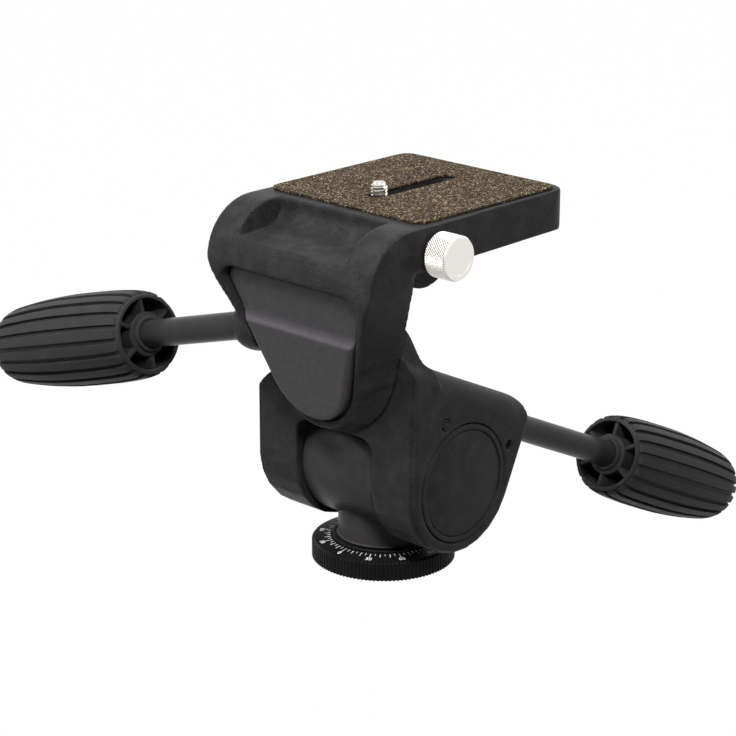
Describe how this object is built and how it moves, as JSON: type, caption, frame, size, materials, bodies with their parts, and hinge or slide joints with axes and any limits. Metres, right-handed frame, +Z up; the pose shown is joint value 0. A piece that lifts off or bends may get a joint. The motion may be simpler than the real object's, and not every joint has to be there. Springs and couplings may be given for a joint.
{
  "type": "tripod head",
  "caption": "Three way pan and tilt head for a tripod, with a pan dial, a tilting yoke, a side tilting platform bracket, two ribbed grip handles and a sliding camera screw.",
  "frame": {"origin": "centre of the pan dial's underside, on the pan axis, where the head meets the tripod", "axes": "+Z up along the pan axis, +X along the tilt axis away from the side handle, the camera looks along -Y and the rear handle points back along +Y"},
  "size_m": [0.2311, 0.2732, 0.1918],
  "materials": {
    "cast_black": "fine black powder coat on die cast alloy",
    "satin_black": "satin black paint",
    "dial_black": "black anodised with white scale marks",
    "rod_black": "smooth satin black",
    "moulded_black": "matt moulded plastic",
    "grip_black": "ribbed rubbery plastic",
    "mat": "cork and rubber grain, matt",
    "steel": "plain machined steel",
    "silver": "knurled, bright",
    "brass": "machined"
  },
  "bodies": {
    "base": {"base_dial": "dial_black", "thread_insert": "brass", "pan_spindle": "steel", "base_screw_1": "steel", "base_screw_2": "steel", "base_screw_3": "steel", "pan_washer": "brass", "pan_nut": "steel"},
    "drum": {"tilt_drum": "satin_black", "index_ring": "dial_black", "drum_bush_right": "brass", "drum_bush_left": "brass"},
    "yoke": {"yoke_casting": "cast_black", "tilt_axle": "steel", "tilt_axle_nut": "steel", "side_cover_right": "satin_black", "side_cover_left": "satin_black", "tilt_washer_right": "brass", "tilt_washer_left": "brass", "guide_pin_cap": "satin_black", "set_screw": "steel", "rear_gland": "moulded_black", "side_tilt_axle": "steel", "side_tilt_nut": "steel", "side_friction_disc": "steel"},
    "rear_handle": {"rear_rod": "rod_black", "rear_grip": "grip_black", "rear_grip_core": "moulded_black", "rear_grip_cap": "moulded_black"},
    "tilt_cotter": {"tilt_brake_cotter": "brass"},
    "bracket": {"bracket_casting": "cast_black", "front_plate": "moulded_black", "platform_mat": "mat", "side_gland": "moulded_black"},
    "side_handle": {"side_rod": "rod_black", "side_grip": "grip_black", "side_grip_core": "moulded_black", "side_grip_cap": "moulded_black"},
    "side_cotter": {"side_brake_cotter": "brass"},
    "knob": {"lock_knob": "silver", "lock_stud": "steel"},
    "slider": {"screw_slider": "steel"},
    "screw": {"camera_screw": "steel", "screw_wheel": "moulded_black"}
  },
  "joints": [
    {"name": "pan", "type": "hinge", "parent": "base", "child": "drum", "pos_m": [0, 0, 0.0075], "axis": [0, 0, 1], "continuous": true},
    {"name": "tilt", "type": "hinge", "parent": "drum", "child": "yoke", "pos_m": [0, 0, 0.0396], "axis": [1, 0, 0], "range_deg": [-30, 80]},
    {"name": "side_tilt", "type": "hinge", "parent": "yoke", "child": "bracket", "pos_m": [0, -0.0273, 0.0835], "axis": [0, 1, 0], "range_deg": [-90, 35]},
    {"name": "rear_handle_turn", "type": "hinge", "parent": "yoke", "child": "rear_handle", "pos_m": [0, 0.01099, 0.06316], "axis": [0, 0.9063, -0.4226], "range_deg": [-180, 0]},
    {"name": "tilt_cotter_draw", "type": "slide", "parent": "yoke", "child": "tilt_cotter", "axis": [0, -0.9063, 0.4226], "range_m": [-0.000626, 0]},
    {"name": "side_handle_turn", "type": "hinge", "parent": "bracket", "child": "side_handle", "pos_m": [-0.00501, -0.0345, 0.1011], "axis": [-0.9617, 0, -0.274], "range_deg": [-180, 0]},
    {"name": "side_cotter_draw", "type": "slide", "parent": "bracket", "child": "side_cotter", "axis": [0.9617, 0, 0.274], "range_m": [-0.000626, 0]},
    {"name": "lock_knob_turn", "type": "hinge", "parent": "bracket", "child": "knob", "pos_m": [0.0475, -0.0169, 0.13124], "axis": [1, 0, 0], "range_deg": [-180, 180]},
    {"name": "screw_slide", "type": "slide", "parent": "bracket", "child": "slider", "axis": [0, 1, 0], "range_m": [0, 0.036]},
    {"name": "camera_screw_turn", "type": "hinge", "parent": "slider", "child": "screw", "pos_m": [0, -0.0031, 0.1303], "axis": [0, 0, 1], "continuous": true}
  ],
  "couplings": [
    {"joint": "tilt_cotter_draw", "follows": "rear_handle_turn", "m_per_rad": 0.00019894},
    {"joint": "side_cotter_draw", "follows": "side_handle_turn", "m_per_rad": 0.00019894}
  ]
}
